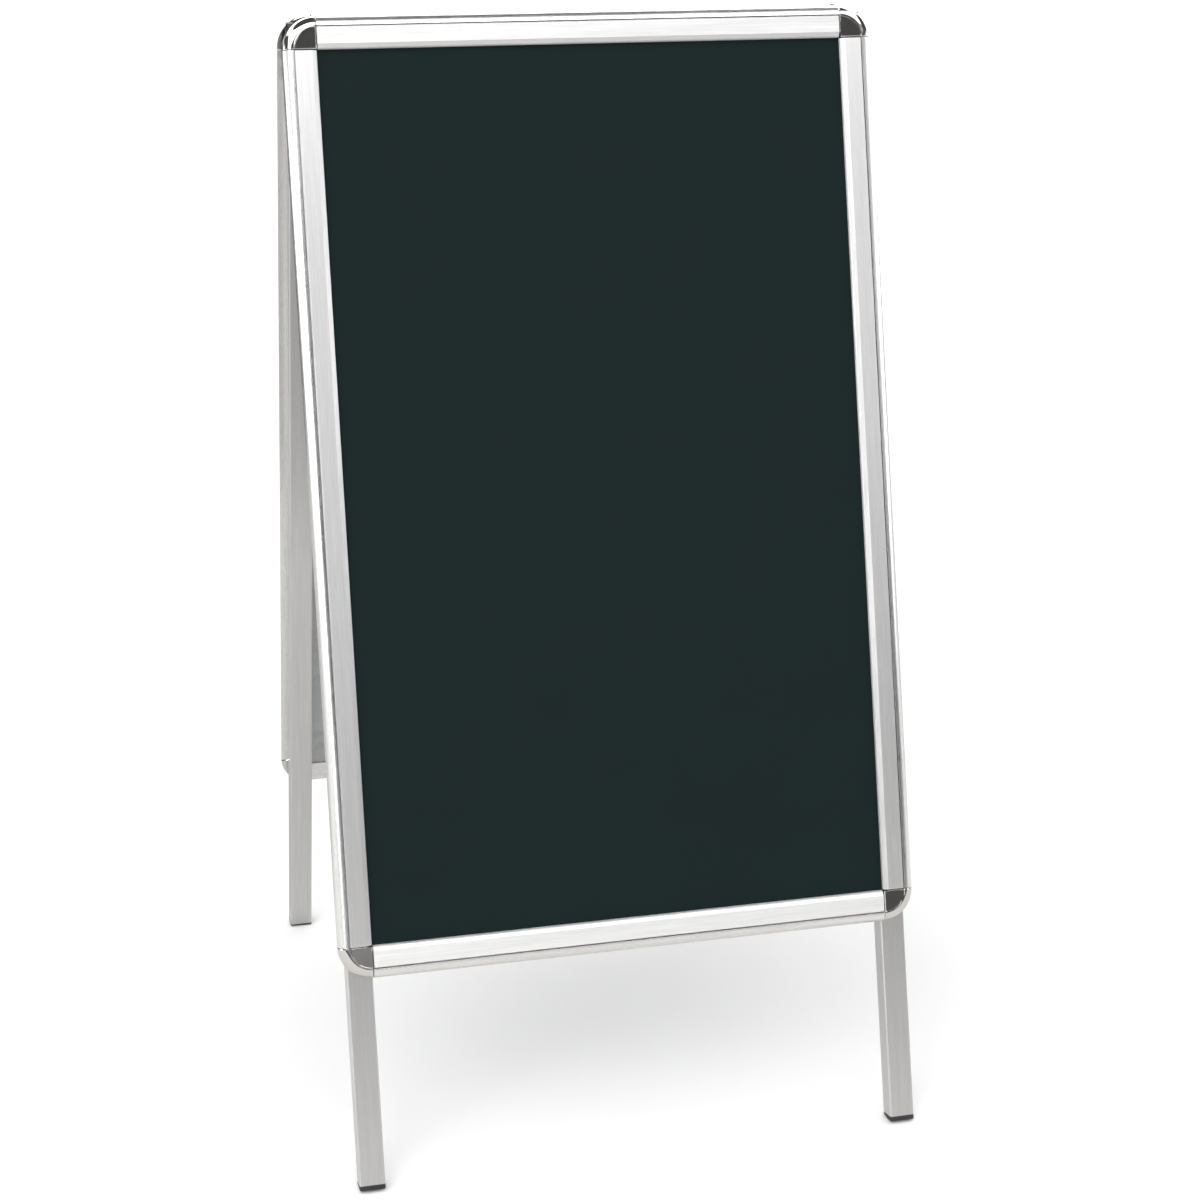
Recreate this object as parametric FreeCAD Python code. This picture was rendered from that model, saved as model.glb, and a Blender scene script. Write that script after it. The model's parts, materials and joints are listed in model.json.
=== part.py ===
import FreeCAD, Part

"""Two-sided sandwich board: two framed panels on legs, hinged at the top.

Each leaf is a snap frame of four aluminium rails with flip-open covers, joined by
round chromed corners. It holds a steel back sheet and a dark writing panel, and it
stands on two rectangular leg tubes. The leaves swing on two pins and stop open
where the hinge heads meet.

A leaf is built upright, with the hinge axis along X through the origin and its
front towards -Y, then leaned and set at its height. Millimetres.
"""

import math
import os

from FreeCAD import Vector

# Whole board
LEAN_DEG = 14.5             # lean of each leaf from the vertical
HINGE_HEIGHT = 1027.0       # hinge axis above the floor
FRAME_WIDTH = 580.0
FRAME_HEIGHT = 910.0
FRAME_TOP_RISE = 52.0       # frame's top edge above the hinge axis, along the leaf

# Rail section: "depth" runs from the outer edge inwards, "rise" from the back face out
RAIL_WIDTH = 32.0
RAIL_RISE = 13.0
WALL = 1.5
SHOULDER_RADIUS = 10.0      # rounded outer shoulder of the rails and corners
SHOULDER_GAP = 0.4          # between the shoulder's inner end and the cover's hook
WEB_DEPTH = 23.5            # back web of a rail, which the sheets rest on
POST_DEPTH = 16.0           # near face of the post that carries the cover's bead
POST_WALL = 1.4

# Snap cover and its bead
PIVOT_DEPTH = 13.2
BEAD_RADIUS = 1.3
BEAD_CLEARANCE = 0.1
HOOK_RADIUS = 2.4
NECK_HALF = 0.5
PIVOT_RISE = RAIL_RISE - HOOK_RADIUS
HOOK_END_DEG = 225.0
COVER_UNDERSIDE = RAIL_RISE - WALL
LIP_WALL = 1.2
LIP_OUTSIDE = [(4.6, 0.0), (4.1, 0.5), (1.0, 1.7), (0.0, 2.9)]  # out from the opening, below the face
LIP_INSIDE = [(0.0, 1.9), (2.4, 0.5), (4.0, 0.0)]               # out from the lip, below the underside
COVER_END_GAP = 0.3

# Sheets held in the frame
SHEET_EDGE_DEPTH = 18.2     # outer edge of both sheets, from the frame's outer edge
BACK_SHEET_THICK = 1.0
BOARD_THICK = 3.5
BOARD_FACE = WALL + BACK_SHEET_THICK + BOARD_THICK
SHEET_PLAY = 0.3

# Corner pieces
CORNER_SKIN = 1.8
GROOVE = [(0.0, 0.0), (0.5, 0.7), (0.9, 0.7), (1.5, 0.0)]   # in from the shoulder's end, below the face
TONGUE_LENGTH = 18.0
TONGUE_ROOT = 6.0           # tongue's start inside the corner piece
TONGUE_NEAR = 2.6           # tongue's near side, from the outer edge
TONGUE_FAR = 15.0
TONGUE_TOP = 6.0
TONGUE_PLAY = 0.2
BOSS_RADIUS = 3.4
BOSS_TOP = 8.5
BOSS_FROM_EDGE = 12.0       # boss from the frame's top edge

# Legs
LEG_WIDTH = 25.0
LEG_DEPTH = 20.0
LEG_WALL = 1.5
LEG_EDGE_RADIUS = 1.8
LEG_INSET = 7.6             # leg's outer side from the frame's outer edge
LEG_BACK = 1.0              # leg's back face from the plane of the hinge axis
LEG_TOP = 14.0              # tube's top end below the hinge axis
FOOT_PAD_THICK = 4.8
FOOT_LEAST_HEIGHT = 2.2     # rubber left below the tube at its lowest corner
FOOT_PLUG_LENGTH = 18.0
PLUG_PLAY = 0.1

# Hinges
PIN_RADIUS = 3.0
PIN_CLEARANCE = 0.05
PIN_HEAD_RADIUS = 4.8
PIN_HEAD_THICK = 1.6
PIN_HEAD_TAPER = 0.7        # outer to inner radius of a pin's head
KNUCKLE_RADIUS = 6.0
KNUCKLE_SWING = 0.4         # room around a knuckle for the mating head
TONGUE_KNUCKLE_WIDTH = 8.0
KNUCKLE_SIDE_GAP = 0.3
HEAD_WIDTH = 24.4
STOP_TOP = 13.0             # stop face's top edge above the hinge axis
STOP_GAP = 0.15             # each stop face from the middle plane when open
KNUCKLE_WEB_REACH = 10.0
HEAD_PLUG_LENGTH = 30.0
FLANGE_THICK = 4.0
FLANGE_TOP = 46.0

# Springs and fasteners
SPRING_THICK = 0.5
SPRING_WIDTH = 50.0
SPRING_NEAR = 2.3
SPRING_FAR = 15.3
SPRING_CREST = 4.2
SPRING_SPACING = 250.0
SPRING_PLAY = 0.25
SCREW_PLAY = 0.05
SCREW_SHORT = 0.5           # a screw's tip short of the end of its hole
HOLE_SPARE = 2.0            # blind hole beyond the tip of its screw
PLUG_SCREW_LENGTH = 12.0
PLUG_SCREW_RADIUS = 1.6
FLANGE_SCREW_RADIUS = 2.0
CORNER_SCREW_RADIUS = 1.3
CORNER_SCREW_LENGTH = 5.0
CORNER_SCREW_DEPTH = 12.0   # from the frame's outer edge, so that a leg or hinge head hides it
LEG_SCREW_RADIUS = 1.2
LEG_SCREW_LENGTH = 6.0
LEG_SCREW_SPOTS = [-330.0, 0.0, 330.0]   # along an upright rail, from its middle
RECESS_DEPTH = 0.7          # cross recess in a screw's head, as shares of the shank's radius
RECESS_HALF_WIDTH = 0.2
OVERCUT = 1.0               # how far a cutting shape runs past the surface it cuts

# Derived sizes
OPENING_WIDTH = FRAME_WIDTH - 2 * RAIL_WIDTH
OPENING_HEIGHT = FRAME_HEIGHT - 2 * RAIL_WIDTH
LEAN = math.radians(LEAN_DEG)
FRAME_BACK = LEG_BACK + LEG_DEPTH
FRAME_CENTRE_Z = FRAME_TOP_RISE - FRAME_HEIGHT / 2
SHOULDER_CENTRE = (SHOULDER_RADIUS, RAIL_RISE - SHOULDER_RADIUS)
SHOULDER_TIP = PIVOT_DEPTH - HOOK_RADIUS - SHOULDER_GAP
LEG_X = FRAME_WIDTH / 2 - LEG_INSET - LEG_WIDTH / 2
LEG_PLACES = {"left": -LEG_X, "right": LEG_X}
LEG_SCREW_DEPTH = LEG_INSET + LEG_WIDTH / 2
FLANGE_SCREW_Z = FRAME_TOP_RISE - BOSS_FROM_EDGE
PLUG_SCREW_Z = -LEG_TOP - HEAD_PLUG_LENGTH / 2
TUBE_END = (HINGE_HEIGHT + LEG_BACK * math.sin(LEAN) - FOOT_LEAST_HEIGHT) / math.cos(LEAN)
AXIS_X = Vector(1, 0, 0)
AXIS_Y = Vector(0, 1, 0)
AXIS_Z = Vector(0, 0, 1)
ORIGIN = Vector(0, 0, 0)
SIDES = {"bottom": 0, "left": 90, "top": 180, "right": 270}
UPRIGHTS = ("left", "right")
CORNERS = {"bottom_left": 0, "top_left": 90, "top_right": 180, "bottom_right": 270}


def box(x0, x1, y0, y1, z0, z1):
    """A box between two values on each axis."""
    return Part.makeBox(x1 - x0, y1 - y0, z1 - z0, Vector(x0, y0, z0))


def moved(shape, x=0.0, y=0.0, z=0.0):
    copy = shape.copy()
    copy.translate(Vector(x, y, z))
    return copy


def turned(shape, axis, degrees, centre=ORIGIN):
    copy = shape.copy()
    copy.rotate(centre, axis, degrees)
    return copy


def arc(centre, radius, start_deg, end_deg):
    """Arc in the depth and rise plane, from one angle to another."""
    points = []
    for degrees in (start_deg, (start_deg + end_deg) / 2, end_deg):
        angle = math.radians(degrees)
        depth = centre[0] + radius * math.cos(angle)
        rise = centre[1] + radius * math.sin(angle)
        points.append(section_point(depth, rise))
    return Part.Arc(*points).toShape()


def section_point(depth, rise):
    """A rail section lies in the YZ plane: depth is +Z, rise is -Y."""
    return Vector(0, -rise, depth)


def line(first, second):
    return Part.makeLine(section_point(*first), section_point(*second))


def outline(*pieces):
    """Closed face from arcs and from runs of points given as lists of (depth, rise)."""
    edges = []
    for piece in pieces:
        if isinstance(piece, list):
            edges += [line(a, b) for a, b in zip(piece, piece[1:])]
        else:
            edges.append(piece)
    return Part.Face(Part.Wire(Part.__sortEdges__(edges)))


def around_pivot(radius, degrees):
    angle = math.radians(degrees)
    return (PIVOT_DEPTH + radius * math.cos(angle), PIVOT_RISE + radius * math.sin(angle))


def extruded(face, length):
    """Extrude a section along X, centred on x = 0."""
    return moved(face.extrude(Vector(length, 0, 0)), x=-length / 2)


# ---- Snap frame -----------------------------------------------------------------

def rail_section():
    """Outer shoulder, back web, and the post with the bead that a cover hinges on."""
    centre = SHOULDER_CENTRE
    tip = SHOULDER_TIP
    neck_reach = math.sqrt(BEAD_RADIUS ** 2 - NECK_HALF ** 2)
    neck_angle = math.degrees(math.asin(NECK_HALF / BEAD_RADIUS))
    neck_start = PIVOT_DEPTH + neck_reach
    neck_low = PIVOT_RISE - NECK_HALF
    neck_high = PIVOT_RISE + NECK_HALF
    post_far = POST_DEPTH + POST_WALL
    return outline(
        [(0, 0), (0, centre[1])],
        arc(centre, SHOULDER_RADIUS, 180, 90),
        [(centre[0], RAIL_RISE), (tip, RAIL_RISE), (tip, COVER_UNDERSIDE), (centre[0], COVER_UNDERSIDE)],
        arc(centre, SHOULDER_RADIUS - WALL, 90, 180),
        [(WALL, centre[1]), (WALL, WALL), (POST_DEPTH, WALL), (POST_DEPTH, neck_low), (neck_start, neck_low)],
        arc((PIVOT_DEPTH, PIVOT_RISE), BEAD_RADIUS, -neck_angle, neck_angle - 360),
        [(neck_start, neck_high), (post_far, neck_high), (post_far, WALL), (WEB_DEPTH, WALL),
         (WEB_DEPTH, 0), (0, 0)],
    )


def cover_section():
    """Flat face with a bevelled inner lip, and a hook around the bead."""
    bore = BEAD_RADIUS + BEAD_CLEARANCE
    pivot = (PIVOT_DEPTH, PIVOT_RISE)
    bore_angle = math.degrees(math.asin((COVER_UNDERSIDE - PIVOT_RISE) / bore))
    lip_inner = RAIL_WIDTH - LIP_WALL
    lip_foot = BOARD_FACE + SHEET_PLAY
    outside = [(RAIL_WIDTH - out, RAIL_RISE - down) for out, down in LIP_OUTSIDE]
    inside = [(lip_inner - out, COVER_UNDERSIDE - down) for out, down in LIP_INSIDE]
    return outline(
        [(PIVOT_DEPTH, RAIL_RISE)] + outside + [(RAIL_WIDTH, lip_foot), (lip_inner, lip_foot)] + inside
        + [around_pivot(bore, bore_angle)],
        arc(pivot, bore, bore_angle, HOOK_END_DEG),
        [around_pivot(bore, HOOK_END_DEG), around_pivot(HOOK_RADIUS, HOOK_END_DEG)],
        arc(pivot, HOOK_RADIUS, HOOK_END_DEG, 90),
    )


def opening_span(side):
    return OPENING_WIDTH if side in ("top", "bottom") else OPENING_HEIGHT


def frame_span(side):
    """Size of the frame across a side, from its outer edge to the opposite one."""
    return FRAME_HEIGHT if side in ("top", "bottom") else FRAME_WIDTH


def on_side(shape, side):
    """Set a piece built for a lower rail, outer edge at z = 0, on one side of the frame."""
    lowered = moved(shape, y=-FRAME_BACK, z=-frame_span(side) / 2)
    return moved(turned(lowered, AXIS_Y, SIDES[side]), z=FRAME_CENTRE_Z)


def base_rail(side):
    """A rail; the upright ones are drilled for the corner screws and the leg screws."""
    rail = on_side(extruded(rail_section(), opening_span(side)), side)
    if side not in UPRIGHTS:
        return rail
    corner_holes = corner_screw_row(countersunk, CORNER_SCREW_RADIUS + SCREW_PLAY, WALL + OVERCUT, side)
    return rail.cut(corner_holes + leg_screw_holes(side))


def cover(side):
    return on_side(extruded(cover_section(), opening_span(side) - 2 * COVER_END_GAP), side)


def spring_strip():
    """One arched leaf spring lying in a rail's outer channel, under the cover's hook."""
    half = (SPRING_FAR - SPRING_NEAR) / 2
    radius = (half ** 2 + SPRING_CREST ** 2) / (2 * SPRING_CREST)
    centre = (SPRING_NEAR + half, WALL + SPRING_PLAY + SPRING_CREST - radius)
    reach = math.degrees(math.asin(half / radius))
    inner = radius - SPRING_THICK
    ends = [math.radians(90 - reach), math.radians(90 + reach)]
    outer_ends = [(centre[0] + radius * math.cos(a), centre[1] + radius * math.sin(a)) for a in ends]
    inner_ends = [(centre[0] + inner * math.cos(a), centre[1] + inner * math.sin(a)) for a in ends]
    face = outline(
        arc(centre, radius, 90 - reach, 90 + reach),
        [outer_ends[1], inner_ends[1]],
        arc(centre, inner, 90 + reach, 90 - reach),
        [inner_ends[0], outer_ends[0]],
    )
    return extruded(face, SPRING_WIDTH)


def cover_springs():
    springs = []
    for side in SIDES:
        count = round(opening_span(side) / SPRING_SPACING)
        pitch = opening_span(side) / count
        for index in range(count):
            offset = (index - (count - 1) / 2) * pitch
            springs.append(on_side(moved(spring_strip(), x=offset), side))
    return springs


def sheet(rise, thickness):
    """Flat sheet held all round by the rails, with its back at a given rise."""
    half_width = FRAME_WIDTH / 2 - SHEET_EDGE_DEPTH
    half_height = FRAME_HEIGHT / 2 - SHEET_EDGE_DEPTH
    back = -(FRAME_BACK + rise)
    return box(-half_width, half_width, back - thickness, back,
               FRAME_CENTRE_Z - half_height, FRAME_CENTRE_Z + half_height)


# ---- Screws, driven towards -Y unless turned round ------------------------------------

def countersunk(radius, length, x, z, head_y=0.0):
    """Countersunk screw body with its flat head level with y = head_y."""
    head = Part.makeCone(2 * radius, radius, radius, ORIGIN, -AXIS_Y)
    shank = Part.makeCylinder(radius, length, ORIGIN, -AXIS_Y)
    return moved(head.fuse(shank).removeSplitter(), x=x, y=head_y, z=z)


def finished_screw(radius, length, x, z, head_y=0.0):
    """Countersunk screw with a cross recess in its head."""
    half = radius * RECESS_HALF_WIDTH
    blade = box(-radius, radius, -radius * RECESS_DEPTH, OVERCUT, -half, half)
    cross = moved(blade.fuse(turned(blade, AXIS_Y, 90)), x=x, y=head_y, z=z)
    return countersunk(radius, length, x, z, head_y).cut(cross)


def drilled(radius, x, z, depth):
    """Plain hole with play round a screw, from just behind y = 0."""
    return Part.makeCylinder(radius + SCREW_PLAY, depth + OVERCUT, Vector(x, OVERCUT, z), -AXIS_Y)


def corner_screw_row(make, radius, length, side):
    """Screws or holes from behind an upright rail into the tongues at its two ends."""
    reach = opening_span(side) / 2 - TONGUE_LENGTH / 2
    return [on_side(make(radius, length, x, CORNER_SCREW_DEPTH), side) for x in (-reach, reach)]


def leg_screw_row(make, radius, length, side):
    """Screws or holes from inside an upright rail, through its web into the leg behind it."""
    row = []
    for x in LEG_SCREW_SPOTS:
        backwards = turned(make(radius, length, x, 0.0), AXIS_X, 180)
        row.append(on_side(moved(backwards, y=-WALL, z=LEG_SCREW_DEPTH), side))
    return row


def leg_screw_holes(side):
    return leg_screw_row(countersunk, LEG_SCREW_RADIUS + SCREW_PLAY, LEG_SCREW_LENGTH + OVERCUT, side)


def corner_screws():
    screws = []
    for side in UPRIGHTS:
        screws += corner_screw_row(finished_screw, CORNER_SCREW_RADIUS, CORNER_SCREW_LENGTH, side)
    return screws


# ---- Corner pieces ----------------------------------------------------------------

def corner_section():
    """Section through a corner: rounded shoulder, ring groove, flat face and back plate."""
    centre = SHOULDER_CENTRE
    inner_top = RAIL_RISE - CORNER_SKIN
    groove = [(SHOULDER_TIP + inward, RAIL_RISE - down) for inward, down in GROOVE]
    return outline(
        [(0, 0), (0, centre[1])],
        arc(centre, SHOULDER_RADIUS, 180, 90),
        [(centre[0], RAIL_RISE)] + groove
        + [(RAIL_WIDTH, RAIL_RISE), (RAIL_WIDTH, inner_top), (centre[0], inner_top)],
        arc(centre, inner_top - centre[1], 90, 180),
        [(CORNER_SKIN, centre[1]), (CORNER_SKIN, WALL), (RAIL_WIDTH, WALL), (RAIL_WIDTH, 0), (0, 0)],
    )


def corner_tongue(upright):
    """Tongue along +X that slides into a rail, with a screw hole if that rail is upright."""
    low = TONGUE_NEAR - RAIL_WIDTH
    high = TONGUE_FAR - RAIL_WIDTH
    tongue = box(-TONGUE_ROOT, TONGUE_LENGTH, -TONGUE_TOP, -(WALL + TONGUE_PLAY), low, high)
    if not upright:
        return tongue
    hole_z = CORNER_SCREW_DEPTH - RAIL_WIDTH
    return tongue.cut(drilled(CORNER_SCREW_RADIUS, TONGUE_LENGTH / 2, hole_z, TONGUE_TOP))


def corner_piece(corner):
    """Built for the lower left, with the opening's corner at the origin, then turned."""
    shell = moved(corner_section(), z=-RAIL_WIDTH).revolve(ORIGIN, AXIS_Y, 90)
    swapped = corner in ("top_left", "bottom_right")
    side_tongue = turned(corner_tongue(not swapped), AXIS_Y, 90).mirror(ORIGIN, AXIS_Z)
    body = shell.fuse([corner_tongue(swapped), side_tongue])
    if corner.startswith("top"):
        from_side = RAIL_WIDTH - (FRAME_WIDTH / 2 - LEG_X)
        from_edge = RAIL_WIDTH - BOSS_FROM_EDGE
        boss_x, boss_z = (-from_edge, -from_side) if swapped else (-from_side, -from_edge)
        boss = Part.makeCylinder(BOSS_RADIUS, BOSS_TOP - WALL, Vector(boss_x, -WALL, boss_z), -AXIS_Y)
        body = body.fuse(boss).cut(drilled(FLANGE_SCREW_RADIUS, boss_x, boss_z, BOSS_TOP))
    placed = turned(body.removeSplitter(), AXIS_Y, CORNERS[corner])
    x = OPENING_WIDTH / 2 * (-1 if corner.endswith("left") else 1)
    z = OPENING_HEIGHT / 2 * (-1 if corner.startswith("bottom") else 1)
    return moved(placed, x=x, y=-FRAME_BACK, z=FRAME_CENTRE_Z + z)


# ---- Legs and feet ------------------------------------------------------------------

def leg_bar(z0, z1):
    """Solid bar of the leg's outer size between two heights, with rounded long edges."""
    bar = box(-LEG_WIDTH / 2, LEG_WIDTH / 2, -FRAME_BACK, -LEG_BACK, z0, z1)
    boxes = [(edge, edge.BoundBox) for edge in bar.Edges]
    upright = [edge for edge, size in boxes if size.ZLength > size.XLength + size.YLength]
    return bar.makeFillet(LEG_EDGE_RADIUS, upright)


def leg_tube(side):
    """Rectangular tube with rounded edges, drilled for the rail's screws and the hinge head's."""
    half_bore = LEG_WIDTH / 2 - LEG_WALL
    bore = box(-half_bore, half_bore, -FRAME_BACK + LEG_WALL, -LEG_BACK - LEG_WALL,
               -TUBE_END - OVERCUT, -LEG_TOP + OVERCUT)
    hinge_hole = countersunk(PLUG_SCREW_RADIUS + SCREW_PLAY, LEG_WALL + OVERCUT, 0, PLUG_SCREW_Z,
                             -LEG_BACK)
    tube = leg_bar(-TUBE_END, -LEG_TOP).cut([bore, hinge_hole])
    return moved(tube, x=LEG_PLACES[side]).cut(leg_screw_holes(side))


def tube_plug(z0, z1):
    """Block that fills the leg tube between two heights."""
    half = LEG_WIDTH / 2 - LEG_WALL - PLUG_PLAY
    inset = LEG_WALL + PLUG_PLAY
    return box(-half, half, -FRAME_BACK + inset, -LEG_BACK - inset, z0, z1)


def foot():
    """Rubber plug, and a pad across the tube's end whose lowest edge the floor later cuts level."""
    pad = leg_bar(-TUBE_END - FOOT_PAD_THICK, -TUBE_END)
    return pad.fuse(tube_plug(-TUBE_END, -TUBE_END + FOOT_PLUG_LENGTH)).removeSplitter()


# ---- Hinges ---------------------------------------------------------------------------

def knuckle(x0, x1):
    """Round knuckle about the hinge axis, with the web that joins it to its head."""
    barrel = Part.makeCylinder(KNUCKLE_RADIUS, x1 - x0, Vector(x0, 0, 0), AXIS_X)
    web = box(x0, x1, -KNUCKLE_WEB_REACH, 0, -KNUCKLE_RADIUS, KNUCKLE_RADIUS)
    return barrel.fuse(web)


def across_head(radius):
    """Cutting cylinder about the hinge axis, through the full width of a head."""
    length = HEAD_WIDTH + 2 * OVERCUT
    return Part.makeCylinder(radius, length, Vector(-length / 2, 0, 0), AXIS_X)


def hinge_head(knuckle_spans):
    """Head plugged into a leg's top: knuckles, a stop face, and a flange for the corner."""
    half = HEAD_WIDTH / 2
    stop_back = -(STOP_TOP * math.tan(LEAN) + STOP_GAP)
    profile = [(-LEG_BACK, -LEG_TOP), (-LEG_BACK, 0), (stop_back, STOP_TOP),
               (-FRAME_BACK, STOP_TOP), (-FRAME_BACK, -LEG_TOP), (-LEG_BACK, -LEG_TOP)]
    wire = Part.makePolygon([Vector(-half, y, z) for y, z in profile])
    block = Part.Face(wire).extrude(Vector(HEAD_WIDTH, 0, 0))
    swing = KNUCKLE_RADIUS + KNUCKLE_SWING
    block = block.cut(across_head(swing))
    flange = box(-half, half, -FRAME_BACK, -FRAME_BACK + FLANGE_THICK, STOP_TOP, FLANGE_TOP)
    plug = tube_plug(-LEG_TOP - HEAD_PLUG_LENGTH, -LEG_TOP)
    head = block.fuse([flange, plug] + [knuckle(x0, x1) for x0, x1 in knuckle_spans])
    bore = across_head(PIN_RADIUS + PIN_CLEARANCE)
    flange_face = -FRAME_BACK + FLANGE_THICK
    flange_hole = countersunk(FLANGE_SCREW_RADIUS + SCREW_PLAY, FLANGE_THICK + OVERCUT, 0, FLANGE_SCREW_Z,
                              flange_face)
    plug_hole = drilled(PLUG_SCREW_RADIUS, 0, PLUG_SCREW_Z, PLUG_SCREW_LENGTH + HOLE_SPARE)
    return head.cut([bore, flange_hole, plug_hole]).removeSplitter()


def hinge_pin():
    """Pin through both heads, with a bevelled rivet head at each end."""
    half = HEAD_WIDTH / 2 + KNUCKLE_SIDE_GAP
    pin = Part.makeCylinder(PIN_RADIUS, 2 * half, Vector(-half, 0, 0), AXIS_X)
    caps = []
    for end in (-1, 1):
        caps.append(Part.makeCone(PIN_HEAD_RADIUS, PIN_HEAD_RADIUS * PIN_HEAD_TAPER, PIN_HEAD_THICK,
                                  Vector(end * half, 0, 0), Vector(end, 0, 0)))
    return pin.fuse(caps).removeSplitter()


def hinge_screws():
    """For each leg: one screw into the tube's plug and one through the flange."""
    screws = []
    for x in LEG_PLACES.values():
        screws.append(finished_screw(PLUG_SCREW_RADIUS, PLUG_SCREW_LENGTH, x, PLUG_SCREW_Z, -LEG_BACK))
        screws.append(finished_screw(FLANGE_SCREW_RADIUS, FLANGE_THICK + BOSS_TOP - SCREW_SHORT, x,
                                     FLANGE_SCREW_Z, -FRAME_BACK + FLANGE_THICK))
    return screws


def leg_screws():
    screws = []
    for side in UPRIGHTS:
        screws += leg_screw_row(finished_screw, LEG_SCREW_RADIUS, LEG_SCREW_LENGTH, side)
    return screws


# ---- Placing and writing ----------------------------------------------------------------

def on_leaf(shape, leaf):
    """Lean a leaf's piece about the hinge axis and lift it; the rear leaf is turned round."""
    leaned = turned(shape, AXIS_X, -LEAN_DEG)
    if leaf == "rear":
        leaned = turned(leaned, AXIS_Z, 180)
    return moved(leaned, z=HINGE_HEIGHT)


def level_foot(shape):
    """Cut a placed foot level with the floor."""
    reach = FRAME_WIDTH
    return shape.cut(box(-reach, reach, -reach, reach, -reach, 0))


def seen_name(local_name, leaf):
    """Left and right as seen from the front of the board, for either leaf."""
    if leaf == "front":
        return local_name
    swap = {"left": "right", "right": "left"}
    return "_".join(swap.get(word, word) for word in local_name.split("_"))


def leaf_nodes(leaf):
    nodes = {}
    for side in SIDES:
        nodes[side + "_rail"] = [base_rail(side)]
        nodes[side + "_cover"] = [cover(side)]
    for corner in CORNERS:
        nodes[corner + "_corner"] = [corner_piece(corner)]
    nodes["back_sheet"] = [sheet(WALL, BACK_SHEET_THICK)]
    nodes["chalkboard"] = [sheet(WALL + BACK_SHEET_THICK, BOARD_THICK)]
    nodes["cover_springs"] = cover_springs()
    nodes["corner_screws"] = corner_screws()
    nodes["leg_screws"] = leg_screws()
    nodes["hinge_screws"] = hinge_screws()
    half_tongue = TONGUE_KNUCKLE_WIDTH / 2
    lug_start = half_tongue + KNUCKLE_SIDE_GAP
    spans = {
        "front": [(-half_tongue, half_tongue)],
        "rear": [(-HEAD_WIDTH / 2, -lug_start), (lug_start, HEAD_WIDTH / 2)],
    }
    for hand, x in LEG_PLACES.items():
        nodes[hand + "_leg"] = [leg_tube(hand)]
        nodes[hand + "_foot"] = [moved(foot(), x=x)]
        nodes[hand + "_hinge_head"] = [moved(hinge_head(spans[leaf]), x=x)]
    return nodes


def write(name, solids):
    shape = solids[0] if len(solids) == 1 else Part.makeCompound(solids)
    shape.exportStep("parts/" + name + ".step")


def main():
    os.makedirs("parts", exist_ok=True)
    for leaf in ("front", "rear"):
        for local_name, pieces in leaf_nodes(leaf).items():
            placed = [on_leaf(piece, leaf) for piece in pieces]
            if local_name.endswith("_foot"):
                placed = [level_foot(piece) for piece in placed]
            write(leaf + "_" + seen_name(local_name, leaf), placed)
    for hand, x in LEG_PLACES.items():
        write(hand + "_hinge_pin", [moved(hinge_pin(), x=x, z=HINGE_HEIGHT)])


main()
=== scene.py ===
import bmesh
import bpy
import json
import math
from mathutils import Matrix, Vector


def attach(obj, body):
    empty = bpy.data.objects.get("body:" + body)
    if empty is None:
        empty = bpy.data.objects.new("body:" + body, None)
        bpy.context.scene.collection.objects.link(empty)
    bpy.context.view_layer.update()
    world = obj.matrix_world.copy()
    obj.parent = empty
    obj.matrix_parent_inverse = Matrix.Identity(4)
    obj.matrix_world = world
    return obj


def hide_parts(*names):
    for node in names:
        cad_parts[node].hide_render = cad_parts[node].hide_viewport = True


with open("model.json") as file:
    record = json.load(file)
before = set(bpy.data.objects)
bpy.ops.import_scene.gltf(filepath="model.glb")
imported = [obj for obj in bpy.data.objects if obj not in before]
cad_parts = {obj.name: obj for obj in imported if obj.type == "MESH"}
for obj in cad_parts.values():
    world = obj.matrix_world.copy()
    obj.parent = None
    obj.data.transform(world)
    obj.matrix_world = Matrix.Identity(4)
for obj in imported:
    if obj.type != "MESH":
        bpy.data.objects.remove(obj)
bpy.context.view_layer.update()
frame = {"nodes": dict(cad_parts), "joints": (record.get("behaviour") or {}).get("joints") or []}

# Lengths are in millimetres until a mesh is finished. A rail's section has "depth" from the
# frame's outer edge inwards and "rise" from its back face outwards.
MM = 0.001

# Rails and snap covers
RAIL_WIDTH = 32.0
RAIL_RISE = 13.0
WALL = 1.5
SHOULDER_RADIUS = 10.0
WEB_DEPTH = 23.5
POST_DEPTH = 16.0
POST_FAR = 17.4
PIVOT = (13.2, 10.6)
BEAD_RADIUS = 1.3
BORE_RADIUS = 1.4
HOOK_RADIUS = 2.4
NECK_HALF = 0.5
HOOK_START_DEG = 135.0
HOOK_END_DEG = 225.0
SHOULDER_TIP = 10.4
COVER_EDGE = [(11.53, 12.72), (11.95, 13.0)]
COVER_UNDERSIDE = RAIL_RISE - WALL
LIP_OUTSIDE = [(4.6, 0.0), (4.1, 0.5), (1.0, 1.7), (0.0, 2.9)]
LIP_INSIDE = [(0.0, 1.9), (2.4, 0.5), (4.0, 0.0)]
LIP_WALL = 1.2
LIP_FOOT = 6.3
RAIL_END_GAP = 0.5          # each end short of the corner piece, so that the joint shows
COVER_END_GAP = 0.95
RAIL_END_BEVEL = 0.3
COVER_END_BEVEL = 0.25

# Corner pieces and sheets
GROOVE = [(0.0, 0.0), (0.5, 0.7), (0.9, 0.7), (1.5, 0.0)]
CORNER_SKIN = 1.8
CORNER_END_BEVEL = 0.7
CORNER_EDGE_BEVEL = 0.15
TONGUE_REACH = 18.0
TONGUE_ROOT = 6.0
TONGUE_NEAR = 2.6
TONGUE_FAR = 15.0
TONGUE_TOP = 6.0
TONGUE_BOTTOM = 1.7
SHEET_EDGE_DEPTH = 18.2
SHEET_LEVELS = {"back_sheet": (1.5, 2.5), "chalkboard": (2.5, 6.0)}
SHEET_EDGE_BEVEL = 0.3

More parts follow.
